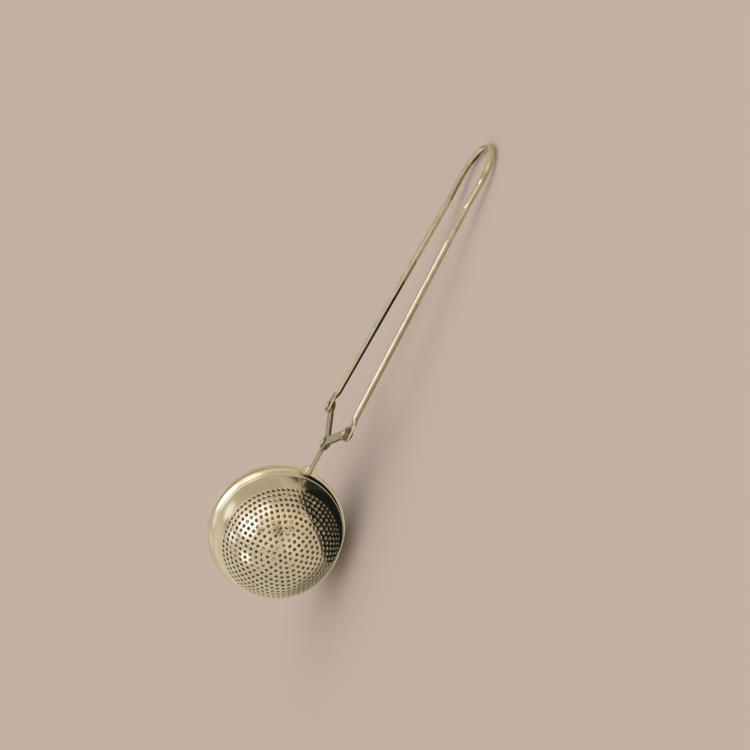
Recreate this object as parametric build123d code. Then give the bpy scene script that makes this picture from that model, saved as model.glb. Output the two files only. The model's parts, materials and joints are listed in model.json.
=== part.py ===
from build123d import *
from math import acos, asin, atan2, cos, degrees, radians, sin, sqrt, tan
import os

# Spring-handle tea infuser: two perforated cups close into a ball, each is welded to a strip arm,
# and one bent wire is both the handle and the spring. Millimetres and degrees.
# The tool is modelled with the ball's centre at the origin, the handle along +X, the cups opening
# along Y and the rivets along Z. The last step lays it on a table, on the ball and the loop.

# Cups, pressed from sheet
sheet = 0.5                 # thickness
dome_radius = 24.3          # outside of the perforated dome
dome_rise = 1.2             # from the cup's mating face to the dome's centre
band_radius = 24.55         # outside of the plain band, where it leaves the flange
band_draft = 0.2            # how much the band closes in towards the dome
band_height = 5.0           # from the mating face to the shoulder under the dome
band_fillet = 0.3           # hollow corner between band and flange
shoulder_fillet = 0.2
flange_width = 1.2          # flat ring outside the band
seam_gap = 0.2              # between the two mating faces when closed

# Holes in each cup: one at the pole, then rings of 6, 12, 18 ... that all start on one spoke
hole_diameter = 1.15
hole_ring_count = 12
hole_ring_angle = 4.97      # between rings, seen from the dome's centre
hole_spoke_angle = -24.0    # from the handle to the spoke, seen from outside
holes_in_first_ring = 6

# Tab of the flange that the arm is welded to
tab_top_width = 4.0
tab_reach = 1.9             # beyond the flange
tab_slope = 28.0            # of each side, from the handle's direction
tab_fillet = 2.5            # where the sides run into the flange
tab_corner = 0.4

# Arms, cut from strip
strip = 1.0                 # thickness
arm_width = 3.6
eye_radius = 2.6            # round ends about the rivets
elbow_fillet = 2.5          # inside the bend between arm and tail
arm_length = 21.0           # from the pivot rivet to the leg rivet
arm_angle = 62.0            # between arm and handle when closed
pivot_distance = 38.0       # from the ball's centre to the pivot rivet
tail_end_gap = 0.1          # between the tail's end and the band
layer_gap = 0.1             # between strips that slide on each other

# Rivets
shank_radius = 1.0
head_radius = 1.95
head_height = 0.9
head_rim = 0.2              # straight edge of the head
head_gap = 0.05             # under the head on the strip that turns
running_clearance = 0.05    # radial, round a shank that a strip turns on
pivot_clearance = 0.6       # radial, in the front arm, which follows the pivot rivet loosely

# Wire handle
wire_radius = 1.2
loop_radius = 13.0          # of the centre line round the loop
loop_end = 160.3            # from the ball's centre to the centre line at the loop's end
waist_setback = 9.3         # from the loop's centre back to the bend under it
waist_inset = 0.2           # how much narrower than the loop the bend is, each side
waist_bend = 20.0           # radius of the centre line
spring_split = 0.3          # between the wire's two halves at the loop's end
flat_thickness = 1.0        # flattened ends
flat_length = 3.2           # from the rivet's centre to where the wire starts to round out
flat_neck = 4.6             # width there
flat_run_out = 3.6          # from flat to round

# Worked out from the sizes above
FRONT, REAR = -1, 1         # side of the seam, as the sign of Y
flange_radius = band_radius + flange_width
flange_outside = seam_gap / 2 + sheet
arm_layer = (layer_gap + strip) / 2
flat_layer = (layer_gap + flat_thickness) / 2
leg_rivet_x = pivot_distance + arm_length * cos(radians(arm_angle))
leg_rivet_y = arm_length * sin(radians(arm_angle))
tail_end = band_radius + band_fillet + tail_end_gap
loop_centre = loop_end - loop_radius
waist_x = loop_centre - waist_setback
waist_y = loop_radius - waist_inset
rest_pitch = degrees(asin((flange_radius - wire_radius) / loop_end))


def dome_section_point(radius, height):
    """Where a dome of this radius stands at this height over its centre."""
    return sqrt(radius**2 - height**2), height


def dome_arc(radius, height):
    """Half section of a dome, from that height up to the pole."""
    start = degrees(asin(height / radius))
    return CenterArc((0, 0), radius, start, 90 - start)


def cup_section():
    """Half section of a cup round the dome's centre: flange, band, shoulder and dome."""
    mating_face = -dome_rise
    flange_top = mating_face + sheet
    shoulder = mating_face + band_height
    shoulder_outside = band_radius - band_draft
    rim = Polyline(
        dome_section_point(dome_radius, shoulder),
        (shoulder_outside, shoulder),
        (band_radius, flange_top),
        (flange_radius, flange_top),
        (flange_radius, mating_face),
        (band_radius - sheet, mating_face),
        (shoulder_outside - sheet, shoulder - sheet),
        dome_section_point(dome_radius - sheet, shoulder - sheet),
    )
    pole = Line((0, dome_radius - sheet), (0, dome_radius))
    outside = dome_arc(dome_radius, shoulder)
    inside = dome_arc(dome_radius - sheet, shoulder - sheet)
    section = make_face([*rim.edges(), outside, inside, pole])
    hollow = section.vertices().sort_by_distance((band_radius, flange_top))[0]
    section = fillet(hollow, band_fillet)
    edge = section.vertices().sort_by_distance((shoulder_outside, shoulder))[0]
    return fillet(edge, shoulder_fillet)


def tab_plate():
    """Flange with its tab towards +X, as a flat ring."""
    top = flange_radius + tab_reach
    top_half = tab_top_width / 2
    base_half = top_half + (top - band_radius) * tan(radians(tab_slope))
    tab = make_face(Polyline((band_radius, -base_half), (top, -top_half), (top, top_half),
                             (band_radius, base_half), close=True))
    outline = Circle(flange_radius) + tab
    roots = outline.vertices().group_by(Axis.X)[0]
    outline = fillet(roots, tab_fillet)
    corners = outline.vertices().group_by(Axis.X)[-1]
    outline = fillet(corners, tab_corner)
    return Pos(0, 0, -dome_rise) * extrude(outline - Circle(band_radius - sheet), sheet)


def dome_drills():
    """Radial cutters for every hole, round the dome's centre."""
    drill = Pos(0, 0, dome_radius - sheet / 2) * Cylinder(hole_diameter / 2, 4 * sheet)
    drills = [drill]
    for ring in range(1, hole_ring_count + 1):
        count = holes_in_first_ring * ring
        for step in range(count):
            around = hole_spoke_angle + step * 360 / count
            drills.append(Rot(Z=around) * Rot(Y=ring * hole_ring_angle) * drill)
    return drills


def cup(side):
    """Perforated half of the ball, with its pole on the given side of the seam."""
    shell = revolve(Plane.XZ * cup_section(), Axis.Z) + tab_plate()
    shell -= dome_drills()
    return Pos(0, side * (seam_gap / 2 + dome_rise), 0) * Rot(X=-90 * side) * shell


def arm(side):
    """Strip arm with an eye at each end and a tail that is welded to the cup's tab."""
    elbow = (pivot_distance, 0)
    strip_place = Pos(*elbow, 0) * Rot(Z=arm_angle) * Pos(arm_length / 2, 0, 0)
    upper = strip_place * Rectangle(arm_length, arm_width)
    eyes = Pos(*elbow, 0) * Circle(eye_radius) + Pos(leg_rivet_x, leg_rivet_y, 0) * Circle(eye_radius)
    tail = make_face(Polyline((tail_end, flange_outside), (pivot_distance, flange_outside),
                              (pivot_distance, eye_radius), (tail_end, eye_radius), close=True))
    outline = upper + eyes + tail
    inside_bend = (pivot_distance - arm_width / 2, eye_radius)
    outline = fillet(outline.vertices().sort_by_distance(inside_bend)[0], elbow_fillet)
    pivot_hole = shank_radius + (pivot_clearance if side == FRONT else 0)
    outline -= Pos(*elbow, 0) * Circle(pivot_hole)
    outline -= Pos(leg_rivet_x, leg_rivet_y, 0) * Circle(shank_radius + running_clearance)
    plate = extrude(outline, strip / 2, both=True)
    if side == FRONT:
        plate = mirror(plate, Plane.XZ)
    return Pos(0, 0, -side * arm_layer) * plate


def leg_direction():
    """Angle of the rear leg, from the leg rivet to the waist."""
    return degrees(atan2(waist_y - leg_rivet_y, waist_x - leg_rivet_x))


def wire_path():
    """Centre line of the rear half of the wire, from the end of the run-out to the loop's end."""
    slope = radians(leg_direction())
    run_out = flat_length + flat_run_out
    start = (leg_rivet_x + run_out * cos(slope), leg_rivet_y + run_out * sin(slope))
    reach = sqrt(waist_setback**2 + waist_y**2)
    touch = atan2(waist_y, -waist_setback) - acos(loop_radius / reach)
    touch_point = (loop_centre + loop_radius * cos(touch), loop_radius * sin(touch))
    legs = FilletPolyline(start, (waist_x, waist_y), touch_point, radius=waist_bend)
    stop = asin(spring_split / 2 / loop_radius)
    loop = CenterArc((loop_centre, 0), loop_radius, degrees(touch), degrees(stop - touch))
    return Wire([*legs.edges(), loop])


def flattened_end():
    """Flat eye of the rear leg and its run-out to the round wire, along +X from the rivet."""
    half_neck = flat_neck / 2
    fan = make_face(Polyline((0, -eye_radius), (flat_length, -half_neck), (flat_length, half_neck),
                             (0, eye_radius), close=True))
    outline = fan + Circle(eye_radius) - Circle(shank_radius)
    plate = Pos(0, 0, flat_layer) * extrude(outline, flat_thickness / 2, both=True)
    across = Plane((flat_length, 0, flat_layer), x_dir=(0, 1, 0), z_dir=(1, 0, 0))
    beyond = Plane((flat_length + flat_run_out, 0, 0), x_dir=(0, 1, 0), z_dir=(1, 0, 0))
    flat_section = across * Ellipse(half_neck, flat_thickness / 2)
    return plate + loft([flat_section, beyond * Circle(wire_radius)])


def wire_leg(side):
    """One half of the wire: flattened end, straight leg, waist bend and half of the loop."""
    path = wire_path()
    section = Plane(path @ 0, z_dir=path % 0) * Circle(wire_radius)
    leg = sweep(section, path=path)
    leg += Pos(leg_rivet_x, leg_rivet_y, 0) * Rot(Z=leg_direction()) * flattened_end()
    if side == FRONT:
        leg = Rot(X=180) * leg
    return leg


def rivet(x, y, turning_side):
    """Two-headed rivet, with the head gap on the side of the strip that turns."""
    top = layer_gap / 2 + strip + (head_gap if turning_side > 0 else 0)
    bottom = -layer_gap / 2 - strip - (head_gap if turning_side < 0 else 0)
    shank = Pos(0, 0, (top + bottom) / 2) * Cylinder(shank_radius, top - bottom)
    dome = head_height - head_rim
    ball = (head_radius**2 + dome**2) / (2 * dome)
    rim = Cylinder(head_radius, head_height, align=(Align.CENTER, Align.CENTER, Align.MIN))
    head = rim & (Pos(0, 0, head_height - ball) * Sphere(ball))
    upper = Pos(0, 0, top) * head
    lower = Pos(0, 0, bottom) * Rot(X=180) * head
    return Pos(x, y, 0) * (shank + upper + lower)


def lay_down():
    """From the model's frame to the part's: seam upright, origin under the middle of the box."""
    lowest_x = -flange_radius
    highest_x = loop_end * cos(radians(rest_pitch)) + wire_radius
    return Pos(-(lowest_x + highest_x) / 2, 0, flange_radius) * Rot(Y=rest_pitch)


nodes = {
    "front_cup": cup(FRONT),
    "rear_cup": cup(REAR),
    "front_arm": arm(FRONT),
    "rear_arm": arm(REAR),
    "front_wire_leg": wire_leg(FRONT),
    "rear_wire_leg": wire_leg(REAR),
    "pivot_rivet": rivet(pivot_distance, 0, 1),
    "front_leg_rivet": rivet(leg_rivet_x, -leg_rivet_y, 1),
    "rear_leg_rivet": rivet(leg_rivet_x, leg_rivet_y, -1),
}

os.makedirs("parts", exist_ok=True)
for name, solid in nodes.items():
    export_step(lay_down() * solid, f"parts/{name}.step")
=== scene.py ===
import json
import bpy
import numpy as np
from mathutils import Matrix, Vector
from mathutils.geometry import tessellate_polygon


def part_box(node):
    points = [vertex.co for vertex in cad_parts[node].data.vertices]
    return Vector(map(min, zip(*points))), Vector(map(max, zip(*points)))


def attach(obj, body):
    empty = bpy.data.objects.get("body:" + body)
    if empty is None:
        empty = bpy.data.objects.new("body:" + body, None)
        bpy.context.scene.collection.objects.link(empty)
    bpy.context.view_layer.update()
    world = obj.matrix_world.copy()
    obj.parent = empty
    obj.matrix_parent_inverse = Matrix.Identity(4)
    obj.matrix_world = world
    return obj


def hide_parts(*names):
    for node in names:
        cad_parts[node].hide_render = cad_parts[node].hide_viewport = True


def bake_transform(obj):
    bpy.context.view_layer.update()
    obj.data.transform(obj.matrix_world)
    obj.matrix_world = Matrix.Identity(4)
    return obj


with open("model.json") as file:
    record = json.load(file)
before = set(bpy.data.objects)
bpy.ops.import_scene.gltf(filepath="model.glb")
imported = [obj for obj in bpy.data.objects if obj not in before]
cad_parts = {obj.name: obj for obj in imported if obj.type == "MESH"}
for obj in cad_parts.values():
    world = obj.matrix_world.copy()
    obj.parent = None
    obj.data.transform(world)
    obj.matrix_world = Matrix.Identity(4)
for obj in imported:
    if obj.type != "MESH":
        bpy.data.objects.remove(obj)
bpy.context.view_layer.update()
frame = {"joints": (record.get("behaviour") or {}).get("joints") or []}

scene = bpy.context.scene
mm = 0.001

# shapes are written in millimetres from the ball's centre, x along the handle, y across the seam
# towards the rear cup and z along the rivets, and then laid in place
joints = {joint["name"]: joint for joint in frame["joints"]}
rivetAxis = np.array(joints["front_arm_turn"]["axis"], float)
acrossSeam = np.array([0.0, 1.0, 0.0])
alongHandle = np.cross(acrossSeam, rivetAxis)
cupLow, cupHigh = (np.array(corner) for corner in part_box("front_cup"))
ballRadius = (cupHigh[2] - cupLow[2]) / 2
ballCentre = np.array([cupLow[0] + ballRadius, 0.0, cupLow[2] + ballRadius])
laidAxes = np.array([alongHandle, acrossSeam, rivetAxis])


def lay(points):
    # millimetres round the ball become metres in the frame: each number times its axis, from the centre
    return ballCentre + mm * (np.asarray(points, float) @ laidAxes)


def fromFrame(point):
    # a place of the frame, in millimetres round the ball: its distance along each laid axis
    return (np.array(point, float) - ballCentre) @ laidAxes.T / mm


legRivets = {name: fromFrame(joints[name + "_arm_turn"]["pos_m"]) for name in ("front", "rear")}
pivotLow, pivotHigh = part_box("pivot_rivet")
pivotRivet = fromFrame((pivotLow + pivotHigh) / 2)
loopEnd = fromFrame(joints["handle_squeeze"]["pos_m"])
print("stage: frame read, ball centre", np.round(ballCentre, 5))


def smooth(x, start, end):
    # 0 before start, 1 after end, and the S curve of 3 t squared less 2 t cubed between them
    t = np.clip((np.asarray(x, float) - start) / (end - start), 0, 1)
    return t * t * (3 - 2 * t)


def unit(vectors):
    # each vector divided by its own length
    return vectors / np.linalg.norm(vectors, axis=-1, keepdims=True)


def onCircle(angle):
    # the points of a circle of radius 1 at angles in radians: cosine and sine
    return np.stack([np.cos(angle), np.sin(angle)], -1)


def arc(centre, radius, start, end, count):
    # points on a circle from one angle to another, in degrees
    return np.array(centre) + radius * onCircle(np.radians(np.linspace(start, end, count)))


def unitCircle(count):
    # evenly spaced points of a circle of radius 1, the first at angle 0
    return onCircle(np.radians(np.arange(count) * 360 / count))


def leftOf(direction):
    # flat directions turned a quarter turn to the left
    return direction[..., ::-1] * (-1, 1)


def travelled(line):
    # the distance along a line at each of its points
    return np.append(0, np.cumsum(np.linalg.norm(np.diff(line, axis=0), axis=1)))


def withHeight(flat, heights):
    # rows of flat points or directions get a third number, which is one height for each row
    heights = np.reshape(heights, (-1, 1, 1))
    return np.concatenate([flat, np.broadcast_to(heights, (*flat.shape[:2], 1))], -1)


def roundedLine(corners, radii, count):
    # a flat line with each inner corner replaced by an arc of its radius, whose centre stands square
    # to the line where the arc starts; gives the points and the line's unit direction at each
    corners = np.array(corners, float)
    points, directions = [corners[:1]], []
    for before, corner, after, radius in zip(corners, corners[1:], corners[2:], radii):
        come, leave = unit(corner - before), unit(after - corner)
        turn = np.arctan2(come[0] * leave[1] - come[1] * leave[0], come @ leave)
        side = np.sign(turn) * leftOf(come)
        centre = corner - come * radius * np.tan(abs(turn) / 2) + side * radius
        swing = np.linspace(0, turn, count)[:, None]
        points.append(centre - side * radius * np.cos(swing) + come * radius * np.sin(np.abs(swing)))
        directions.append(come * np.cos(swing) + np.sign(turn) * side * np.sin(swing))
    directions = [directions[0][:1], *directions, unit(corners[-1:] - corners[-2:-1])]
    return np.concatenate([*points, corners[-1:]]), np.concatenate(directions)


def numbered(points, first=0):
    # the vertex numbers of a grid of points, counted on from the first
    return first + np.arange(points[..., 0].size).reshape(points.shape[:-1])


def gridFaces(grid):
    # a grid of vertex numbers becomes quads between its rows, with the last column joined to the first
    grid = np.concatenate([grid, grid[:, :1]], 1)
    return np.stack([grid[:-1, :-1], grid[1:, :-1], grid[1:, 1:], grid[:-1, 1:]], -1).reshape(-1, 4)


def gridNormals(normals):
    # the normals of a grid's vertices, repeated for the corners of the quads that gridFaces makes
    normals = np.concatenate([normals, normals[:, :1]], 1)
    corners = [normals[:-1, :-1], normals[1:, :-1], normals[1:, 1:], normals[:-1, 1:]]
    return np.stack(corners, -2).reshape(-1, 4, 3)


def closedTube(rings, ends, way=-1, corners=None):
    # rings of points are joined by quads, and the first and last ring by triangles to the middle of
    # each end; way is 1 or -1, whichever turns the faces outwards; without corner normals, which are
    # left at zero, the shading follows the faces
    grid = numbered(rings)
    faces = [gridFaces(grid)[:, ::way]]
    for number, (ring, turned) in enumerate(((grid[0], way), (grid[-1], -way))):
        middle = np.full(ring.size, grid.size + number)
        faces.append(np.stack([middle, ring, np.roll(ring, -1)][::turned], 1))
    if corners is None:
        corners = [np.zeros((*each.shape, 3)) for each in faces]
    return np.concatenate([rings.reshape(-1, 3), ends]), list(zip(faces, corners))


def linked(name, data):
    # a new object of the scene that holds the data
    item = bpy.data.objects.new(name, data)
    scene.collection.objects.link(item)
    return item


def makePiece(name, points, blocks, material, marks=None):
    # blocks are (faces, corner normals) of one face size each; the points are laid in place; marks
    # are named numbers or vectors at each point, which the finish reads
    mesh = bpy.data.meshes.new(name)
    mesh.vertices.add(len(points))
    mesh.vertices.foreach_set("co", lay(points).astype(np.float32).ravel())
    sizes = np.concatenate([np.full(len(faces), faces.shape[1]) for faces, _ in blocks])
    mesh.loops.add(int(sizes.sum()))
    mesh.loops.foreach_set("vertex_index", np.concatenate([faces.ravel() for faces, _ in blocks]))
    mesh.polygons.add(len(sizes))
    mesh.polygons.foreach_set("loop_start", np.concatenate([[0], np.cumsum(sizes)[:-1]]))
    mesh.update(calc_edges=True)
    mesh.polygons.foreach_set("use_smooth", np.ones(len(sizes), bool))
    normals = np.concatenate([corner.reshape(-1, 3) for _, corner in blocks]) @ laidAxes
    mesh.normals_split_custom_set(normals.astype(np.float32).tolist())
    for mark, values in (marks or {}).items():
        kind, field = ("FLOAT_VECTOR", "vector") if values.ndim == 2 else ("FLOAT", "value")
        attribute = mesh.attributes.new(mark, kind, "POINT")
        attribute.data.foreach_set(field, values.astype(np.float32).ravel())
    mesh.materials.append(material)
    piece = linked(name, mesh)
    print("stage:", name, len(points), "points", len(sizes), "faces")
    return piece


# what all the steels share: where in the noise the clouds and the lines fade in, how deep the lines
# are in metres, and how strongly the metal bends light
steelGrain = {"clouds": (0.3, 0.7), "cloudDetail": 3, "lines": (0.52, 0.75), "lineDetail": 4,
              "lineDepth": 0.00002, "refraction": 2.5}


def nodesOf(owner):
    # a material's or a world's own nodes and the links between them
    owner.use_nodes = True
    return owner.node_tree.nodes, owner.node_tree.links


def steel(name, look):
    # polished stainless steel: two close tints in soft clouds, a roughness that varies with them,
    # and fine lines drawn out along the way the part was rolled, spun or drawn; where the piece is
    # marked with painted shade, its tint goes over to the shade's dark colour and its roughness grows
    material = bpy.data.materials.new(name)
    nodes, links = nodesOf(material)
    shader = nodes["Principled BSDF"]
    shader.inputs["Metallic"].default_value = 1
    shader.inputs["IOR"].default_value = steelGrain["refraction"]

    def mixed(factor, first, second):
        # the first colour times one less the factor, and the second times the factor
        mixer = nodes.new("ShaderNodeMix")
        mixer.data_type = "RGBA"
        for socket, value in (("A", first), ("B", second)):
            if isinstance(value, tuple):
                mixer.inputs[socket].default_value = (*value, 1)
            else:
                links.new(value, mixer.inputs[socket])
        links.new(factor, mixer.inputs["Factor"])
        return mixer.outputs["Result"]

    def noise(place, scale, detail):
        # a soft noise from 0 to 1, with scale waves to one unit of the place
        texture = nodes.new("ShaderNodeTexNoise")
        texture.inputs["Scale"].default_value = scale
        texture.inputs["Detail"].default_value = detail
        links.new(place, texture.inputs["Vector"])
        return texture.outputs["Fac"]

    def ranged(value, low, high, start, end):
        # start where the value is low, end where it is high, and a straight line between
        scaled = nodes.new("ShaderNodeMapRange")
        scaled.inputs["From Min"].default_value = low
        scaled.inputs["From Max"].default_value = high
        scaled.inputs["To Min"].default_value = start
        scaled.inputs["To Max"].default_value = end
        links.new(value, scaled.inputs["Value"])
        return scaled.outputs["Result"]

    def marked(mark, kind):
        # what the piece is marked with at each point, as a vector or as one number
        attribute = nodes.new("ShaderNodeAttribute")
        attribute.attribute_name = mark
        return attribute.outputs[kind]

    place = nodes.new("ShaderNodeTexCoord").outputs["Object"]
    stretch = nodes.new("ShaderNodeMapping")
    stretch.inputs["Scale"].default_value = look["stretch"]
    drawn = marked(look["follows"], "Vector") if "follows" in look else place
    links.new(drawn, stretch.inputs["Vector"])
    clouds = noise(place, look["cloudScale"], steelGrain["cloudDetail"])
    lines = noise(stretch.outputs["Vector"], look["lineScale"], steelGrain["lineDetail"])
    colour = mixed(ranged(clouds, *steelGrain["clouds"], 0, 1), look["dark"], look["light"])
    scratched = ranged(lines, *steelGrain["lines"], 0, look["lineShade"])
    colour = mixed(scratched, colour, look["scratch"])
    roughness = ranged(clouds, *steelGrain["clouds"], *look["roughness"])
    # painted shade: where the piece is marked, the tint darkens and the roughness grows
    if "painted_shade" in look:
        shadeShare = marked("painted_shade", "Fac")
        colour = mixed(shadeShare, colour, look["painted_shade"])
        rougherInShade = nodes.new("ShaderNodeMath")
        rougherInShade.operation = "MULTIPLY_ADD"
        rougherInShade.inputs[1].default_value = look["roughnessInShade"]
        links.new(shadeShare, rougherInShade.inputs[0])
        links.new(roughness, rougherInShade.inputs[2])
        roughness = rougherInShade.outputs["Value"]
    links.new(colour, shader.inputs["Base Color"])
    links.new(roughness, shader.inputs["Roughness"])
    bump = nodes.new("ShaderNodeBump")
    bump.inputs["Strength"].default_value = look["bump"]
    bump.inputs["Distance"].default_value = steelGrain["lineDepth"]
    links.new(lines, bump.inputs["Height"])
    links.new(bump.outputs["Normal"], shader.inputs["Normal"])
    return material


# each steel's darker mark colour is painted shade: inside the cups and their holes, on the arms' sheared
# edges and at the rivets' feet
steelLooks = {
    "cup_steel": {
        "dark": (0.74, 0.71, 0.62), "light": (0.82, 0.79, 0.70), "scratch": (0.66, 0.63, 0.54),
        "roughness": (0.10, 0.20), "cloudScale": 140, "lineScale": 2600, "stretch": (0.05, 1, 0.05),
        "lineShade": 0.35, "bump": 0.12, "painted_shade": (0.60, 0.54, 0.41), "roughnessInShade": 0.2},
    "strip_steel": {
        "dark": (0.66, 0.63, 0.54), "light": (0.78, 0.75, 0.66), "scratch": (0.52, 0.49, 0.40),
        "roughness": (0.24, 0.36), "cloudScale": 420, "lineScale": 2200, "stretch": (0.5, 1, 1),
        "lineShade": 0.5, "bump": 0.3, "painted_shade": (0.25, 0.21, 0.13), "roughnessInShade": 0.1},
    "wire_steel": {
        "dark": (0.66, 0.63, 0.53), "light": (0.82, 0.79, 0.69), "scratch": (0.42, 0.38, 0.27),
        "roughness": (0.10, 0.22), "cloudScale": 260, "lineScale": 3.0, "stretch": (1, 1, 0.06),
        "lineShade": 0.75, "bump": 0.5, "follows": "along"},
    "rivet_steel": {
        "dark": (0.72, 0.69, 0.60), "light": (0.82, 0.79, 0.70), "scratch": (0.60, 0.57, 0.47),
        "roughness": (0.14, 0.26), "cloudScale": 700, "lineScale": 4200, "stretch": (1, 1, 1),
        "lineShade": 0.4, "bump": 0.2, "painted_shade": (0.20, 0.17, 0.10), "roughnessInShade": 0.1},
    # the weld's steel is a lighter copy of the rivets' steel: a painted highlight on the bead
    "weld_steel_painted_highlight": {
        "dark": (0.88, 0.85, 0.77), "light": (0.96, 0.93, 0.86), "scratch": (0.80, 0.77, 0.67),
        "roughness": (0.26, 0.34), "cloudScale": 700, "lineScale": 4200, "stretch": (1, 1, 1),
        "lineShade": 0.4, "bump": 0.3},
}
finishes = {name: steel(name + "_finish", look) for name, look in steelLooks.items()}
print("stage: finishes", len(finishes))


# perforated cups: angles in degrees; the gathering draws the rim's columns together towards the tab,
# and the painted shade of the hollow inside and the holes' walls starts at the given depth and rows, in
# shares of the sheet and of the rim's rows
cupShape = {
    "sheet": 0.5, "domeRadius": 24.3, "domeRise": 1.2, "seamGap": 0.2,
    "bandRadius": 24.55, "bandDraft": 0.2, "bandHeight": 5.0, "flangeWidth": 1.2, "bandLean": (38.0, 54.0),
    "shoulderRound": 0.2, "ledgeRound": 0.08, "bandFillet": 0.3, "edgeRound": 0.12, "bendRound": 0.3,
    "landAboveShoulder": 0.4, "landSteps": 9, "bendSteps": 5,
    "holeRadius": 0.575, "holeRings": 12, "rimRing": 12.5, "ringAngle": 4.97, "spokeAngle": -24.0,
    "rollWidth": 0.32, "rollDepth": 0.16, "rollAngles": (0, 50, 90),
    "tabReach": 1.9, "tabHalfWidth": 2.0, "tabSlope": 28.0, "tabFillet": 2.5, "tabCorner": 0.4,
    "tabTries": 400, "tabRun": 3.0, "tabSteps": 12, "tabFade": 0.6, "tabSlopeStep": 0.05,
    "gatherShare": 0.8, "gatherWidth": 22.0, "gatherFrom": 15.0,
    "shadeDepth": (0.3, 0.9), "shadeRows": (0.62, 0.70),
}
# middles and corners of the six sides of a lattice cell, in sixths of a lattice step
stepParts = 6
cellOutline = np.array([(3, 0), (2, 2), (0, 3), (-2, 4), (-3, 3), (-4, 2),
                        (-3, 0), (-2, -2), (0, -3), (2, -4), (3, -3), (4, -2)])


def ringAndTurn(a, b):
    # a triangular lattice wound into rings: the ring is the number of lattice steps from the
    # middle, and the way along a side of that hexagon becomes the way round, in degrees
    ring = np.maximum(np.maximum(np.abs(a), np.abs(b)), np.abs(a + b))
    flat = a + b * np.exp(1j * np.pi / 3)
    side = np.floor(np.degrees(np.angle(flat)) % 360 / 60)
    turned = flat * np.exp(-1j * np.pi / 3 * side)
    share = turned.imag / np.sin(np.pi / 3) / np.maximum(ring, 1e-9)        # the middle has no side
    return ring, 60 * (side + share)


def domeDirection(ring, turn, shape):
    # unit vectors from the dome's centre, z towards its pole: the sine of the angle from the pole
    # times the cosine and the sine of the way round, and the cosine of the angle from the pole
    polar = np.radians(ring * shape["ringAngle"])
    around = np.radians(turn + shape["spokeAngle"])
    return np.stack([np.sin(polar) * np.cos(around), np.sin(polar) * np.sin(around), np.cos(polar)], -1)


def ringQuads(near, far):
    # what the corners of two rings hold, put in the order of the quads between the rings
    pairs = [np.stack([row, np.roll(row, -1, 1)], 2) for row in (near, far)]
    return np.concatenate([pairs[0], pairs[1][:, :, ::-1]], 2)


def latticeCells(shape):
    # the lattice points up to the last ring are the holes, and each owns a six-sided cell whose
    # outline it shares with its neighbours; what lies outside the last ring is drawn in to an even
    # rim; gives the holes' directions, the outline's, the numbers of the outline round each hole,
    # and the rim's numbers in order with their way round
    rings = shape["holeRings"]
    steps = np.arange(-rings, rings + 1)
    a, b = (grid.ravel() for grid in np.meshgrid(steps, steps))
    within = np.abs(a + b) <= rings
    a, b = a[within], b[within]
    keys = (stepParts * np.stack([a, b], -1)[:, None] + cellOutline).reshape(-1, 2)
    outlineKeys, outlineIndex = np.unique(keys, axis=0, return_inverse=True)
    outlineIndex = outlineIndex.reshape(len(a), len(cellOutline))
    ring, turn = ringAndTurn(*(outlineKeys.T / stepParts))
    onRim = ring > rings + 1 / stepParts
    ring = np.where(onRim, shape["rimRing"], ring)
    rim = np.nonzero(onRim)[0]
    rim = rim[np.argsort(np.round(turn[rim], 6) % 360)]     # rounded, so that a full turn counts as none
    holes, outline = domeDirection(*ringAndTurn(a, b), shape), domeDirection(ring, turn, shape)
    return holes, outline, outlineIndex, rim, turn[rim] % 360


def roundHoles(axis, towards):
    # directions square to each hole's axis, in even steps round it; the first step is turned by the
    # mean lead of the outline's own angles over even ones
    first = unit(towards[:, 0] - axis * np.sum(towards[:, 0] * axis, -1, keepdims=True))
    second = np.cross(axis, first)
    angle = np.arctan2(np.einsum("nkj,nj->nk", towards, second), np.einsum("nkj,nj->nk", towards, first))
    even = np.arange(towards.shape[1]) * 2 * np.pi / towards.shape[1]
    angle = even + np.angle(np.exp(1j * (angle - even)).mean(1))[:, None]
    return np.cos(angle)[..., None] * first[:, None] + np.sin(angle)[..., None] * second[:, None]


def holeSection(shape):
    # rings down a hole: over its rolled-in edge, a quarter of an ellipse, and down its wall; gives
    # each ring's radius, its height along the hole's axis, and how far its normal leans inwards
    radius, hole = shape["domeRadius"], shape["holeRadius"]
    bend = np.radians(shape["rollAngles"])
    size = hole + shape["rollWidth"] * (1 - np.sin(bend))
    height = np.sqrt(radius**2 - size**2) - shape["rollDepth"] * (1 - np.cos(bend))
    tilt = np.arctan2(shape["rollDepth"] * np.sin(bend), shape["rollWidth"] * np.cos(bend))
    wallEnd = np.sqrt((radius - shape["sheet"])**2 - hole**2)
    return np.append(size, hole), np.append(height, wallEnd), np.append(tilt, np.pi / 2)


def perforatedPart(shape):
    # the surface of each hole's cell is a grid: round the hole, and from the cell's outline down the
    # rings of the hole's section and back out along the inside; gives points, faces with corner
    # normals, the rim's numbers outside, its way round, and how much higher its numbers are inside
    radius, inner = shape["domeRadius"], shape["domeRadius"] - shape["sheet"]
    axis, outline, outlineIndex, rim, rimTurn = latticeCells(shape)
    towards, count = outline[outlineIndex], len(outline)
    outwards = roundHoles(axis, towards)
    size, height, tilt = (each[:, None, None, None] for each in holeSection(shape))
    holePoints = height * axis[:, None] + size * outwards
    holeNormals = np.cos(tilt) * axis[:, None] - np.sin(tilt) * outwards
    holeNormals[0] = holePoints[0] / radius         # the first ring still lies in the dome
    points = np.concatenate([outline * radius, outline * inner, holePoints.reshape(-1, 3)])
    holeIndex = numbered(holePoints, 2 * count)
    rows = [outlineIndex, *holeIndex, outlineIndex + count]
    nearNormals = [towards, *holeNormals[:-1], -holePoints[-1] / inner]
    farNormals = [*holeNormals, -towards]
    blocks = [(ringQuads(near, far).reshape(-1, 4), ringQuads(nearNormal, farNormal).reshape(-1, 4, 3))
              for near, far, nearNormal, farNormal in zip(rows, rows[1:], nearNormals, farNormals)]
    return points, blocks, rim, rimTurn, count


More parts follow.
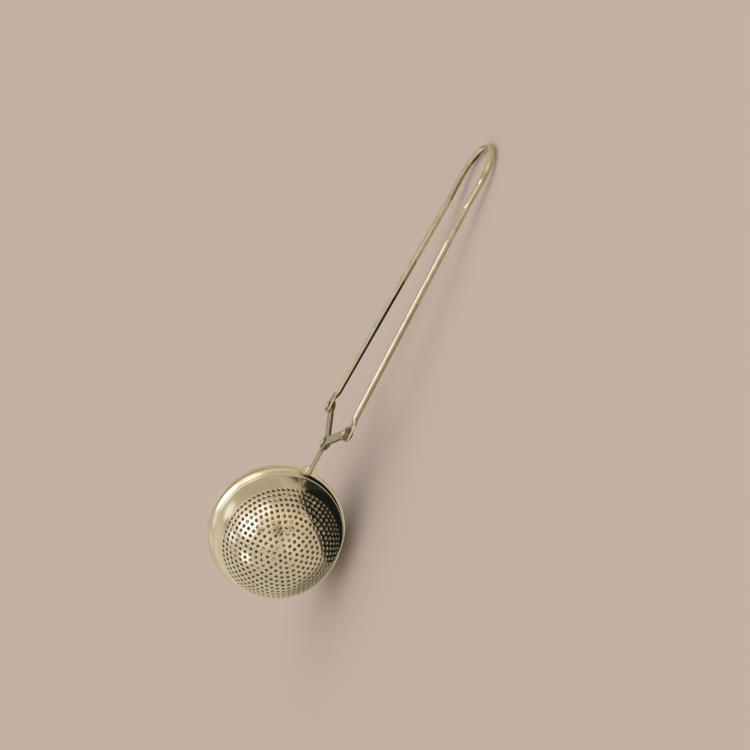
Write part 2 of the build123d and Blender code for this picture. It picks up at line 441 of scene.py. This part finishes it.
def tabOutline(turn, shape):
    # how far the flange's edge stands from the ball's axis at each angle from the handle: a circle
    # with a tab whose straight sides run into it through fillets; a side's root is the one of many
    # tries along it that comes nearest to the circle
    flange = shape["bandRadius"] + shape["flangeWidth"]
    top, half = flange + shape["tabReach"], shape["tabHalfWidth"]
    slope = np.tan(np.radians(shape["tabSlope"]))
    out = np.linspace(0, shape["tabReach"] + shape["flangeWidth"], shape["tabTries"])
    side = np.stack([top - out, half + out * slope], 1)
    root = side[np.argmin(np.abs(np.hypot(*side.T) - flange))]
    beyond = root + shape["tabRun"] * leftOf(root) / flange
    line, _ = roundedLine([(top, 0), (top, half), root, beyond],
                          [shape["tabCorner"], shape["tabFillet"]], shape["tabSteps"])
    angle, far = np.degrees(np.arctan2(line[:-1, 1], line[:-1, 0])), np.hypot(*line[:-1].T)
    return np.interp(np.abs(turn), np.append(angle, angle[-1] + shape["tabFade"]), np.append(far, flange))


def rimProfile(shape):
    # half section of the plain part: down the dome, the shoulder, the band and the flange, round
    # its edge and back up inside; rows of (distance from the axis, height over the dome's centre);
    # on the band the normals lean from the flange's lean to the shoulder's, as in a soft hollow
    radius, sheet, band = shape["domeRadius"], shape["sheet"], shape["bandRadius"]
    inner, bandTop = radius - sheet, band - shape["bandDraft"]
    shoulder, mating = shape["bandHeight"] - shape["domeRise"], -shape["domeRise"]
    under = shoulder - sheet
    flange = band + shape["flangeWidth"]
    start = np.radians(90 - shape["rimRing"] * shape["ringAngle"])

    def dome(size, height):
        # unit directions along the dome's arc, from the perforated part's edge down to a height
        return onCircle(np.linspace(start, np.arcsin(height / size), shape["landSteps"]))

    outside = dome(radius, shoulder + shape["landAboveShoulder"])
    inside = dome(inner, under + shape["landAboveShoulder"])
    corners = [outside[-1] * radius, (np.sqrt(radius**2 - shoulder**2), shoulder), (bandTop, shoulder),
               (band, mating + sheet), (flange, mating + sheet), (flange, mating), (band - sheet, mating),
               (bandTop - sheet, under), (np.sqrt(inner**2 - under**2), under), inside[-1] * inner]
    radii = [shape[key] for key in ("ledgeRound", "shoulderRound", "bandFillet", "edgeRound", "edgeRound",
                                    "bendRound", "ledgeRound", "ledgeRound")]
    line, direction = roundedLine(corners, radii, shape["bendSteps"])
    normal = leftOf(direction)
    nearlyUpright = (np.abs(normal[:, 1]) < 0.3) & (normal[:, 0] > 0)
    onBand = nearlyUpright & (line[:, 1] > mating + sheet)
    lean = np.interp(line[:, 1], (mating + sheet, shoulder), shape["bandLean"][::-1])
    lean = np.radians(lean * onBand)[:, None]
    normal = normal * np.cos(lean) + (0, 1) * np.sin(lean)
    profile = np.concatenate([outside[1:-1] * radius, line, (inside[::-1] * inner)[1:-1]])
    normal = np.concatenate([outside[1:-1], normal, -inside[::-1][1:-1]])
    return profile, normal


def cup(side, shape):
    # the perforated part and, from its edge on, the half section carried round the ball's axis; its
    # columns draw together towards the tab and its edge is pushed out to the tab's outline, and then
    # the pole turns to the cup's own side
    points, blocks, rim, turn, count = perforatedPart(shape)
    profile, normal = rimProfile(shape)
    flange = shape["bandRadius"] + shape["flangeWidth"]
    fromHandle = (turn + shape["spokeAngle"] + 180) % 360 - 180
    gathered = fromHandle * (1 - shape["gatherShare"] * np.exp(-(fromHandle / shape["gatherWidth"])**2))
    reach = smooth(profile[:, 1], shape["gatherFrom"], shape["bandHeight"] - shape["domeRise"])[:, None]
    around = fromHandle * (1 - reach) + gathered * reach
    inFillet, outEdge = shape["bandRadius"] + shape["bandFillet"], flange - shape["edgeRound"]
    share = np.clip((profile[:, 0] - inFillet) / (outEdge - inFillet), 0, 1)[:, None]
    far = profile[:, :1] + share * (tabOutline(around, shape) - flange)
    step = shape["tabSlopeStep"]
    slope = (tabOutline(around + step, shape) - tabOutline(around - step, shape)) / np.radians(2 * step)
    slope = slope * (share > 0.999) / far       # only the edge itself faces where the tab's outline does
    outwards = onCircle(np.radians(around))
    rimPoints = withHeight(far[..., None] * outwards, profile[:, 1])
    across = unit(outwards - slope[..., None] * leftOf(outwards))
    rimNormals = withHeight(normal[:, None, :1] * across, normal[:, 1])
    edge = points[rim] / shape["domeRadius"]
    grid = numbered(rimPoints, len(points))
    inside = np.repeat(smooth(np.arange(len(grid)) / len(grid), *shape["shadeRows"]), len(rim))
    grid = np.concatenate([rim[None], grid, rim[None] + count])
    rimNormals = np.concatenate([edge[None], rimNormals, -edge[None]])
    blocks.append((gridFaces(grid), gridNormals(rimNormals)))
    depth = (shape["domeRadius"] - np.linalg.norm(points, axis=1)) / shape["sheet"]
    inside = np.append(smooth(depth, *shape["shadeDepth"]), inside)
    turnOver = np.array([(1, 0, 0), (0, 0, -side), (0, side, 0)], float)
    points = np.concatenate([points, rimPoints.reshape(-1, 3)]) @ turnOver
    points += (0, side * (shape["seamGap"] / 2 + shape["domeRise"]), 0)
    return points, [(faces, corners @ turnOver) for faces, corners in blocks], inside


sides = {"front": -1, "rear": 1}
for name, side in sides.items():
    points, blocks, inside = cup(side, cupShape)
    # painted shade: the inside of the cup and the holes' walls are darker and rougher
    marks = {"painted_shade": inside}
    piece = makePiece(name + "_cup_shell", points, blocks, finishes["cup_steel"], marks)
    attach(piece, name + "_half")
    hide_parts(name + "_cup")


# arms: bent strips, each with a tail that is welded to its cup's tab
armShape = {
    "thickness": 1.0, "layerGap": 0.1, "halfWidth": 1.8, "eyeRadius": 2.6, "bendFillet": 6.5,
    "tailGap": 0.4, "tailLow": 0.6, "tailHigh": 2.6, "cornerRound": 0.2, "edgeRound": 0.1,
    "shankRadius": 1.0, "turningClearance": 0.05, "pivotClearance": 0.6,
    "pivotSteps": 40, "eyeSteps": 44, "bendSteps": 8, "edgeSteps": 4, "holeSteps": 32,
    "tailShadeShare": 0.4, "shadeFade": (-3.5, -2.0),
}


def filled(points, rims, facing):
    # triangles that fill a flat face between its outer rim and the rims of its holes, each turned by
    # the sign of its area so that it faces up (1) or down (-1)
    numbers = np.concatenate(rims)
    triangles = np.array(tessellate_polygon([(points[rim] * (1, 1, 0)).tolist() for rim in rims]))
    corner = points[numbers[triangles]]
    area = np.cross(corner[:, 1, :2] - corner[:, 0, :2], corner[:, 2, :2] - corner[:, 0, :2])
    triangles = np.where((area * facing > 0)[:, None], triangles, triangles[:, ::-1])
    faces = numbers[triangles[np.abs(area) > 1e-9]]         # slivers without area are left out
    return faces, np.tile((0.0, 0.0, facing), (len(faces), 3, 1))


def plate(outline, holes, shape):
    # a flat plate: the outline carries a profile with edges rounded by quarter circles, the holes
    # have straight walls, and both faces are filled between them; the mark, which is painted shade,
    # is largest on the sheared edge, where the outline's normal lies flat
    out = -unit(leftOf(np.roll(outline, -1, 0) - np.roll(outline, 1, 0)))
    edge, levels = shape["edgeRound"], np.array([1, -1]) * shape["thickness"] / 2
    bend = np.radians(np.linspace(90, 0, shape["edgeSteps"]))
    inwards, height = edge * (1 - np.cos(bend)), levels[0] - edge * (1 - np.sin(bend))
    inwards, height = np.append(inwards, inwards[::-1]), np.append(height, -height[::-1])
    lift = np.append(np.sin(bend), -np.sin(bend[::-1]))
    spread = np.append(np.cos(bend), np.cos(bend[::-1]))
    rimPoints = withHeight(outline - inwards[:, None, None] * out, height)
    rimNormals = withHeight(spread[:, None, None] * out, lift)
    grid = numbered(rimPoints)
    points, blocks = [rimPoints.reshape(-1, 3)], [(gridFaces(grid), gridNormals(rimNormals))]
    above, below, total = [grid[0]], [grid[-1]], grid.size
    circle = unitCircle(shape["holeSteps"])
    for centre, radius in holes:
        wall = withHeight(np.stack([centre + radius * circle] * 2), levels)
        hole = numbered(wall, total)
        total += hole.size
        points.append(wall.reshape(-1, 3))
        blocks.append((gridFaces(hole)[:, ::-1], gridNormals(withHeight(np.stack([-circle] * 2), (0, 0)))))
        above.append(hole[0])
        below.append(hole[1])
    points = np.concatenate(points)
    blocks += [filled(points, above, 1), filled(points, below, -1)]
    sheared = np.zeros(len(points))
    sheared[:grid.size] = np.repeat(spread, len(outline))
    return points, blocks, sheared


def armOutline(shape, pivot, eye):
    # seen from above, for the rear arm: under the tail, round the pivot eye, up the strip, round the
    # far eye, down the strip, through the inside bend and back along the tail
    lean = np.degrees(np.arctan2(*(eye - pivot)[::-1]))
    nip = np.degrees(np.arcsin(shape["halfWidth"] / shape["eyeRadius"]))
    under = 180 - np.degrees(np.arcsin(shape["tailLow"] / shape["eyeRadius"]))
    along = unit(eye - pivot)
    edge = pivot + shape["halfWidth"] * leftOf(along)
    bend = edge + along * (shape["tailHigh"] - edge[1]) / along[1]
    tail = cupShape["bandRadius"] + shape["tailGap"]
    roundPivot = arc(pivot, shape["eyeRadius"], under, 360 + lean - nip, shape["pivotSteps"])
    roundEye = arc(eye, shape["eyeRadius"], lean - 180 + nip, lean + 180 - nip, shape["eyeSteps"])
    corners = [roundEye[-1], bend, (tail, shape["tailHigh"]), (tail, shape["tailLow"]), roundPivot[0]]
    back, _ = roundedLine(corners, [shape["bendFillet"], shape["cornerRound"], shape["cornerRound"]],
                          shape["bendSteps"])
    return np.concatenate([roundPivot, roundEye, back[1:-1]])


for name, side in sides.items():
    eye, pivot = np.abs(legRivets[name][:2]), np.array([pivotRivet[0], 0.0])
    loose = armShape["shankRadius"] + armShape["turningClearance"]
    pivotHole = armShape["shankRadius"] + (armShape["pivotClearance"] if side < 0 else 0)
    outline = armOutline(armShape, pivot, eye)
    points, blocks, sheared = plate(outline, [(pivot, pivotHole), (eye, loose)], armShape)
    level = -side * (armShape["thickness"] + armShape["layerGap"]) / 2
    flip = np.diag([1.0, side, side])
    points = points @ flip + np.array([0, 0, level])
    blocks = [(faces, corners @ flip) for faces, corners in blocks]
    # the painted shade is weaker on the tail's edges than on the rest
    pastTail = smooth(points[:, 0] - pivot[0], *armShape["shadeFade"])
    painted_shade = sheared * (armShape["tailShadeShare"] + (1 - armShape["tailShadeShare"]) * pastTail)
    marks = {"painted_shade": painted_shade}
    piece = makePiece(name + "_strip_arm", points, blocks, finishes["strip_steel"], marks)
    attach(piece, name + "_half")
    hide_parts(name + "_arm")


# rivets: domed heads on plain shanks
rivetShape = {
    "shank": 1.0, "head": 1.95, "headHeight": 0.9, "rim": 0.2, "rimRound": 0.12, "rootRound": 0.05,
    "stack": 2.1, "headGap": 0.05, "shadeFrom": 1.25,
    "crown": (0.02, 0.93), "crownSteps": 9, "roundSteps": 4, "around": 48,
}


def rivet(place, turningSide, shape):
    # the half section, from the middle of the upper head to the middle of the lower one, is carried
    # round the rivet's axis; a head is a cap of a ball on a low rim, and the cap runs from just off
    # its middle (in radians) to a share of its full lean, where the rim's rounding takes over
    top = shape["stack"] / 2 + (shape["headGap"] if turningSide > 0 else 0)
    bottom = -shape["stack"] / 2 - (shape["headGap"] if turningSide < 0 else 0)
    head, rim, headHeight = shape["head"], shape["rim"], shape["headHeight"]
    rise = headHeight - rim
    ball = (head**2 + rise**2) / (2 * rise)
    offMiddle, fullShare = shape["crown"]
    lean = np.linspace(offMiddle, np.arcsin(head / ball) * fullShare, shape["crownSteps"])
    crown = np.stack([ball * np.sin(lean), headHeight - ball * (1 - np.cos(lean))], 1)
    line, direction = roundedLine([crown[-1], (head, rim), (head, 0), (shape["shank"], 0)],
                                  [shape["rimRound"], shape["rootRound"]], shape["roundSteps"])
    half = np.concatenate([crown[:-1], line])
    halfNormal = np.concatenate([onCircle(lean)[:-1, ::-1], leftOf(direction)])
    profile = np.concatenate([half + (0, top), (half * (1, -1))[::-1] + (0, bottom)])
    normal = np.concatenate([halfNormal, (halfNormal * (1, -1))[::-1]])
    circle = unitCircle(shape["around"])
    rings = withHeight(profile[:, None, :1] * circle, profile[:, 1])
    ringNormals = withHeight(normal[:, None, :1] * circle, normal[:, 1])
    middles = [(0, 0, top + headHeight), (0, 0, bottom - headHeight)]
    capNormals = [np.tile((0.0, 0.0, facing), (len(circle), 3, 1)) for facing in (1, -1)]
    points, blocks = closedTube(rings, middles, 1, [gridNormals(ringNormals), *capNormals])
    # painted shade: the steep foot of a head is darker than its crown
    foot = smooth(profile[:, 0], shape["shadeFrom"], head) * (np.abs(profile[:, 1]) > shape["stack"] / 2)
    return points + place, blocks, np.append(np.repeat(foot, len(circle)), (0, 0))


rivets = {"pivot_rivet": (pivotRivet * (1, 1, 0), 1, "rear_half"),
          "front_leg_rivet": (legRivets["front"] * (1, 1, 0), 1, "front_leg"),
          "rear_leg_rivet": (legRivets["rear"] * (1, 1, 0), -1, "rear_leg")}
for name, (place, turningSide, body) in rivets.items():
    points, blocks, foot = rivet(place, turningSide, rivetShape)
    piece = makePiece(name + "_domed", points, blocks, finishes["rivet_steel"], {"painted_shade": foot})
    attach(piece, body)
    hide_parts(name)


# wire handle: one bent wire with flattened ends; the angles are those of the eye's rounded tip
wireShape = {
    "wireRadius": 1.2, "loopRadius": 13.0, "waistSetback": 9.3, "waistInset": 0.8, "waistBend": 3.5,
    "eyeRadius": 2.6, "flatThickness": 1.0, "layerGap": 0.1, "neckHalf": 2.25,
    "flatUntil": 3.9, "roundFrom": 6.7, "legEndsBefore": 3.0,
    "flatSquareness": 6.0, "pinch": 0.14, "pinchLength": 0.8,
    "tipAngles": (4, 12, 22, 34, 46, 58, 70, 80), "eyeSteps": 6, "neckSteps": 14, "legSteps": 32,
    "bendSteps": 9, "loopSteps": 40, "around": 28, "blendShare": 0.75,
}


def halfPath(shape, rivetPlace):
    # centre line of the rear half, from the eye's tip to the loop's end: a straight leg, a rounded
    # corner at the waist, a straight line that touches the loop's circle, and an arc of that circle;
    # gives points, unit directions, the way from the rivet and the way from the nearest bend
    centre = np.array([loopEnd[0] - shape["loopRadius"], 0.0])
    waist = centre + (-shape["waistSetback"], shape["loopRadius"] - shape["waistInset"])
    start = rivetPlace[:2]
    leg = np.linalg.norm(waist - start)
    along = (waist - start) / leg
    back = waist - centre
    touch = np.arctan2(back[1], back[0]) - np.arccos(shape["loopRadius"] / np.linalg.norm(back))
    touchPoint = centre + shape["loopRadius"] * onCircle(touch)
    flatUntil, roundFrom = shape["flatUntil"], shape["roundFrom"]
    reach = np.concatenate([-shape["eyeRadius"] * np.cos(np.radians(shape["tipAngles"])),
                            np.linspace(0, flatUntil, shape["eyeSteps"]),
                            np.linspace(flatUntil, roundFrom, shape["neckSteps"])[1:],
                            np.linspace(roundFrom, leg - shape["legEndsBefore"], shape["legSteps"])[1:]])
    straight = start + reach[:, None] * along
    corner, cornerDirection = roundedLine([straight[-1], waist, touchPoint], [shape["waistBend"]],
                                          shape["bendSteps"])
    outwards = onCircle(np.linspace(touch, 0, shape["loopSteps"])[1:])
    points = np.concatenate([straight, corner[1:], centre + shape["loopRadius"] * outwards])
    directions = [np.tile(along, (len(straight), 1)), cornerDirection[1:], -leftOf(outwards)]
    distance = (points - start) @ along
    fromBends = np.minimum(*(np.linalg.norm(points - bend, axis=1) for bend in (waist, touchPoint)))
    return points, np.concatenate(directions), distance, fromBends


def wireSections(shape, distance, fromBends):
    # half width, half thickness, squareness and lift of the section at each point: a round eye, a
    # flat neck that rounds out into the wire along an S curve, and a pinch that fades away from each
    # bend as a bell curve
    eye = np.sqrt(shape["eyeRadius"]**2 - np.minimum(distance, 0)**2)
    neck = eye + (shape["neckHalf"] - shape["eyeRadius"]) * smooth(distance, 0, shape["flatUntil"])
    out = smooth(distance, shape["flatUntil"], shape["roundFrom"])
    width = neck * (1 - out) + shape["wireRadius"] * out
    pinch = shape["pinch"] * np.exp(-(fromBends / shape["pinchLength"])**2)
    thick = shape["flatThickness"] / 2 * (1 - out) + shape["wireRadius"] * out - pinch
    square = shape["flatSquareness"] * (1 - out) + 2 * out
    lift = (shape["layerGap"] + shape["flatThickness"]) / 2 * (1 - out)
    return width + pinch, thick, square, lift


def wireHandle(shape):
    # a section of four rounded quarters, |x|^n + |z|^n = 1, is carried along the whole centre line,
    # out along the rear leg, round the loop and back along the front leg; the mark holds the place
    # round the section and the way along the wire, for the drawn lines
    path, direction, distance, fromBends = halfPath(shape, legRivets["rear"])
    width, thick, square, lift = wireSections(shape, distance, fromBends)
    mirror = np.array([1.0, -1.0])
    path = np.concatenate([path, (path * mirror)[-2::-1]])
    direction = np.concatenate([direction, (direction * -mirror)[-2::-1]])
    width, thick, square = (np.concatenate([v, v[-2::-1]])[:, None] for v in (width, thick, square))
    lift = np.concatenate([lift, -lift[-2::-1]])[:, None]
    across, up = unitCircle(shape["around"]).T[:, None]
    sideways = width * np.sign(across) * np.abs(across)**(2 / square)
    upwards = thick * np.sign(up) * np.abs(up)**(2 / square) + lift
    flat = path[:, None] + sideways[..., None] * leftOf(direction)[:, None]
    rings = np.concatenate([flat, upwards[..., None]], -1)
    points, blocks = closedTube(rings, rings[[0, -1]].mean(1))
    way = travelled(path)[:, None]
    along = np.stack(np.broadcast_arrays(across, up, way), -1).reshape(-1, 3)
    return points, blocks, np.concatenate([along, [(0, 0, 0), (0, 0, way[-1, 0])]])


points, blocks, along = wireHandle(wireShape)
piece = makePiece("wire_handle", points, blocks, finishes["wire_steel"], {"along": along})
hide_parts("front_wire_leg", "rear_wire_leg")
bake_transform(piece)


# welds that hold the arms' tails on the cups' tabs
weldShape = {"size": 0.75, "flatness": 0.68, "ripple": 0.09, "ripples": 9, "start": 27.6, "end": 25.1,
             "cornerRound": 0.2, "cornerSteps": 6, "steps": 60, "around": 16,
             "endSharpness": 12, "thinnest": 0.02}


def weld(side, shape):
    # a round bead carried along a U round the tail's foot, thicker and thinner in a sine's ripples;
    # with t from -1 to 1 along it, it closes at both ends as the root of 1 less a high power of t
    half, level = armShape["thickness"] / 2, -side * (armShape["thickness"] + armShape["layerGap"]) / 2
    corners = [(shape["start"], half), (shape["end"], half), (shape["end"], -half), (shape["start"], -half)]
    line, direction = roundedLine(corners, [shape["cornerRound"]] * 2, shape["cornerSteps"])
    step = travelled(line)
    even = np.linspace(0, step[-1], shape["steps"])
    line, direction = (np.stack([np.interp(even, step, values) for values in each.T], 1)
                       for each in (line, direction))
    share = even / step[-1]
    close = np.sqrt(np.clip(1 - np.abs(share * 2 - 1)**shape["endSharpness"], shape["thinnest"], 1))
    size = shape["size"] * close * (1 + shape["ripple"] * np.sin(share * np.pi * 2 * shape["ripples"]))
    across, up = unitCircle(shape["around"]).T[:, None]
    flat = line[:, None] + (size[:, None] * across)[..., None] * leftOf(unit(direction))[:, None]
    upwards = cupShape["seamGap"] / 2 + cupShape["sheet"] + shape["flatness"] * size[:, None] * up
    rings = np.stack([flat[..., 0], side * upwards, -side * flat[..., 1] + level], -1)
    return closedTube(rings, rings[[0, -1]].mean(1))


for name, side in sides.items():
    points, blocks = weld(side, weldShape)
    # the bead's lighter steel is a painted highlight
    piece = makePiece(name + "_weld_bead", points, blocks, finishes["weld_steel_painted_highlight"])
    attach(piece, name + "_half")


# camera: rolled so that the handle climbs to the upper right
cameraView = {"position": (120.24, -416.77, 120.28), "forward": (-0.1174, 0.9517, -0.2838),
              "right": (0.4803, -0.1957, -0.8550), "lens": 57.43, "sensor": 36.0, "clip": (0.01, 50)}
forward, right = unit(cameraView["forward"]), np.array(cameraView["right"])
right = unit(right - forward * (forward @ right))
up = np.cross(right, forward)
viewAxes = np.array([right, up, -forward])
cameraData = bpy.data.cameras.new("camera")
cameraData.lens, cameraData.sensor_width = cameraView["lens"], cameraView["sensor"]
cameraData.clip_start, cameraData.clip_end = cameraView["clip"]
camera = linked("camera", cameraData)
turned = Matrix((viewAxes @ laidAxes).T.tolist()).to_4x4()
camera.matrix_world = Matrix.Translation(lay(cameraView["position"])) @ turned
scene.camera = camera
print("stage: camera")


# studio: a pale floor and backdrop of one colour and soft light from all round and above
studio = {"backdrop": (0.552, 0.440, 0.371), "skyLevel": 0.88, "sunShare": 0.12, "sunAngle": 60.0,
          "sunFrom": (-0.35, -0.45, 1.0), "floorSize": 8.0, "floorLevel": -0.00005}
# the room that the metal reflects, in soft patches over plain walls; each patch: the way to it from
# the ball as the camera sees it (right, up, nearer), the angles where it is full and where it has
# faded, and its colour
room = {
    "walls": (0.66, 0.55, 0.38),
    "patches": (
        # broad tones above, below and behind, and a light one at the upper left
        ((-0.06, 0.98, -0.17), (15, 65), (0.53, 0.44, 0.29)),
        ((-0.06, -0.97, -0.22), (20, 65), (0.62, 0.53, 0.40)),
        ((-0.74, -0.35, -0.58), (12, 35), (0.72, 0.63, 0.48)),
        ((-0.62, 0.45, 0.64), (14, 42), (0.96, 0.84, 0.64)),
        ((-0.50, 0.17, -0.85), (8, 24), (0.36, 0.31, 0.21)),
        ((0.50, -0.62, -0.60), (10, 36), (0.22, 0.19, 0.12)),
        ((0.48, 0.58, -0.66), (15, 28), (0.03, 0.03, 0.02)),
        # warm tones before the ball, and a bright one over them
        ((-0.03, 0.58, 0.81), (8, 22), (0.92, 0.70, 0.47)),
        ((0.32, 0.52, 0.79), (8, 22), (0.93, 0.70, 0.46)),
        ((0.675, 0.42, 0.605), (6, 20), (0.84, 0.64, 0.41)),
        ((-0.25, -0.13, 0.96), (6, 20), (0.88, 0.76, 0.56)),
        ((0.50, -0.20, 0.84), (8, 24), (0.86, 0.74, 0.54)),
        ((-0.31, 0.69, 0.66), (4, 17), (1.45, 1.32, 1.08)),
        # a small dark spot before the ball, and brown ones round it
        ((0.12, 0.18, 0.976), (4, 10), (0.08, 0.065, 0.04)),
        ((0.46, 0.22, 0.86), (2, 7), (0.50, 0.27, 0.13)),
        ((0.05, 0.36, 0.93), (2, 7), (0.52, 0.25, 0.10)),
        ((-0.45, 0.16, 0.88), (3, 8), (0.42, 0.21, 0.09)),
        # the lights on the left, with a brown and a bluish spot beside them
        ((-0.905, 0.35, -0.23), (2, 14), (1.10, 1.06, 0.98)),
        ((-0.725, 0.27, 0.63), (10, 23), (1.70, 1.66, 1.58)),
        ((-0.726, -0.532, 0.436), (5, 12), (1.50, 1.44, 1.34)),
        ((-0.98, 0.14, -0.10), (3, 9), (0.46, 0.30, 0.17)),
        ((-0.98, -0.06, 0.20), (4, 10), (1.22, 1.31, 1.44)),
    ),
}


def towardsRoom(seen):
    # a direction as the camera sees it becomes one in the frame: each number times its view axis
    return unit(np.array(seen) @ viewAxes @ laidAxes)


def emission(name, colour):
    # a plain glow of one colour, for what only the metal sees
    material = bpy.data.materials.new(name)
    nodes, links = nodesOf(material)
    nodes.clear()
    glow = nodes.new("ShaderNodeEmission")
    glow.inputs["Color"].default_value = (*colour, 1)
    output = nodes.new("ShaderNodeOutputMaterial")
    links.new(glow.outputs["Emission"], output.inputs["Surface"])
    return material


def roomWorld(room, studio):
    # the camera sees the backdrop's colour, the metal sees the walls with their soft patches, and
    # everything is lit by plain white; a patch covers what lies under it by a share that goes along
    # an S curve between the cosines of its two angles
    world = bpy.data.worlds.new("studio")
    nodes, links = nodesOf(world)
    nodes.clear()
    way = nodes.new("ShaderNodeTexCoord").outputs["Generated"]
    colour = None
    for seen, (full, faded), tone in room["patches"]:
        facing = nodes.new("ShaderNodeVectorMath")
        facing.operation = "DOT_PRODUCT"
        facing.inputs[1].default_value = towardsRoom(seen)
        links.new(way, facing.inputs[0])
        share = nodes.new("ShaderNodeMapRange")
        share.interpolation_type = "SMOOTHSTEP"
        share.inputs["From Min"].default_value = np.cos(np.radians(faded))
        share.inputs["From Max"].default_value = np.cos(np.radians(full))
        links.new(facing.outputs["Value"], share.inputs["Value"])
        patch = nodes.new("ShaderNodeMix")
        patch.data_type = "RGBA"
        patch.inputs["B"].default_value = (*tone, 1)
        links.new(share.outputs["Result"], patch.inputs["Factor"])
        if colour:
            links.new(colour, patch.inputs["A"])
        else:
            patch.inputs["A"].default_value = (*room["walls"], 1)
        colour = patch.outputs["Result"]
    seen, plain, mirrored = (nodes.new("ShaderNodeBackground") for _ in range(3))
    seen.inputs["Color"].default_value = (*studio["backdrop"], 1)
    plain.inputs["Color"].default_value = (1, 1, 1, 1)
    plain.inputs["Strength"].default_value = studio["skyLevel"]
    links.new(colour, mirrored.inputs["Color"])
    rays, output = nodes.new("ShaderNodeLightPath"), nodes.new("ShaderNodeOutputWorld")
    inMetal, inView = nodes.new("ShaderNodeMixShader"), nodes.new("ShaderNodeMixShader")
    links.new(rays.outputs["Is Glossy Ray"], inMetal.inputs["Fac"])
    links.new(plain.outputs["Background"], inMetal.inputs[1])
    links.new(mirrored.outputs["Background"], inMetal.inputs[2])
    links.new(rays.outputs["Is Camera Ray"], inView.inputs["Fac"])
    links.new(inMetal.outputs["Shader"], inView.inputs[1])
    links.new(seen.outputs["Background"], inView.inputs[2])
    links.new(inView.outputs["Shader"], output.inputs["Surface"])
    return world


scene.world = roomWorld(room, studio)

# a large soft sun, whose energy gives the floor its share of the light at any height of the sun
sunFrom = unit(studio["sunFrom"])
sunData = bpy.data.lights.new("soft_sun", "SUN")
sunData.energy = studio["sunShare"] * np.pi / sunFrom[2]
sunData.angle = np.radians(studio["sunAngle"])
sun = linked("soft_sun", sunData)
sun.matrix_world = Vector(sunFrom).to_track_quat("Z", "Y").to_matrix().to_4x4()
sun.visible_glossy = False


def plainObject(name, points, faces, material):
    # an object of the scene made of flat faces between points
    mesh = bpy.data.meshes.new(name)
    mesh.from_pydata(points, [], faces)
    mesh.materials.append(material)
    return linked(name, mesh)


# the floor has the backdrop's colour, and keeps the object's shadow
half = studio["floorSize"] / 2
floorMaterial = bpy.data.materials.new("floor")
floorShader = nodesOf(floorMaterial)[0]["Principled BSDF"]
floorShader.inputs["Base Color"].default_value = (*studio["backdrop"], 1)
floorShader.inputs["Roughness"].default_value = 1
floorShader.inputs["Specular IOR Level"].default_value = 0
low = studio["floorLevel"]
corners = [(-half, -half, low), (half, -half, low), (half, half, low), (-half, half, low)]
floor = plainObject("floor", corners, [(0, 1, 2, 3)], floorMaterial)
floor.visible_glossy = False


def onlyReflected(name, points, faces, colour):
    # an object of the set that shows in the metal and nowhere else
    item = plainObject(name, points.tolist(), faces, emission(name, colour))
    item.visible_camera = item.visible_diffuse = item.visible_shadow = False
    item.visible_transmission = item.visible_volume_scatter = False


# a dark barrel beside the ball, its rings (right, up, nearer, radius) from the ball as the camera
# sees it
barrel = {"rings": ((67.0, -25.0, -14.0, 29.0), (68.0, -5.0, -13.0, 42.0), (74.0, 14.0, -10.0, 49.0),
                    (84.0, 45.0, 0.0, 46.0), (90.0, 66.0, 4.0, 47.0)),
          "around": 72, "colour": (0.010, 0.012, 0.009)}
circle = np.insert(unitCircle(barrel["around"]), 1, 0, 1)       # level rings: nothing upwards
rings = np.array(barrel["rings"])
placed = rings[:, None, :3] + rings[:, None, 3:] * circle
grid = numbered(placed)
onlyReflected("dark_barrel", ballCentre + placed.reshape(-1, 3) * mm @ viewAxes @ laidAxes,
              gridFaces(grid).tolist() + [grid[0].tolist(), grid[-1].tolist()], barrel["colour"])

# plain cards along the wires, each (from, to) along and across the handle: the ones over them keep
# the brightest patch off the rear wire and off the front one's end, the ones under them keep the
# barrel off all but the rear wire's near half, and small ones tint, darken or brighten the bends
cards = {
    "cards_over": {"height": 20.0, "colour": (0.62, 0.51, 0.36),
                   "spans": (((46.0, 170.0), (-4.0, 24.0)), ((126.0, 170.0), (-34.0, -4.0)))},
    "cards_under_near": {"height": -2.5, "colour": (0.32, 0.28, 0.19),
                         "spans": (((54.0, 100.0), (-50.0, 0.0)),)},
    "cards_under_far": {"height": -2.5, "colour": (0.42, 0.36, 0.24),
                        "spans": (((100.0, 175.0), (-50.0, 0.0)), ((112.0, 138.0), (4.0, 35.0)),
                                  ((161.0, 205.0), (0.0, 45.0)))},
    "cards_under_fading": {"height": -2.5, "colour": (0.22, 0.18, 0.11),
                           "spans": (((103.0, 112.0), (4.0, 35.0)), ((138.0, 152.0), (1.0, 35.0)))},
    "card_under_loop": {"height": -2.5, "colour": (0.01, 0.01, 0.008),
                        "spans": (((152.6, 156.0), (6.0, 24.0)),)},
    "card_warm": {"height": 6.0, "colour": (0.98, 0.76, 0.50),
                  "spans": (((138.2, 145.6), (-40.0, -10.0)),)},
    "cards_of_glints": {"height": 3.0, "colour": (1.70, 1.66, 1.58),
                        "spans": (((137.1, 138.5), (-15.2, -12.8)), ((146.0, 148.4), (-16.1, -13.6)))},
}
for name, card in cards.items():
    spans = np.array(card["spans"])
    placed = np.full((len(spans), 4, 3), card["height"])
    placed[..., 0], placed[..., 1] = spans[:, 0, [0, 1, 1, 0]], spans[:, 1, [0, 0, 1, 1]]
    onlyReflected(name, lay(placed.reshape(-1, 3)), numbered(placed).tolist(), card["colour"])

scene.view_settings.view_transform = "Standard"
print("stage: studio")
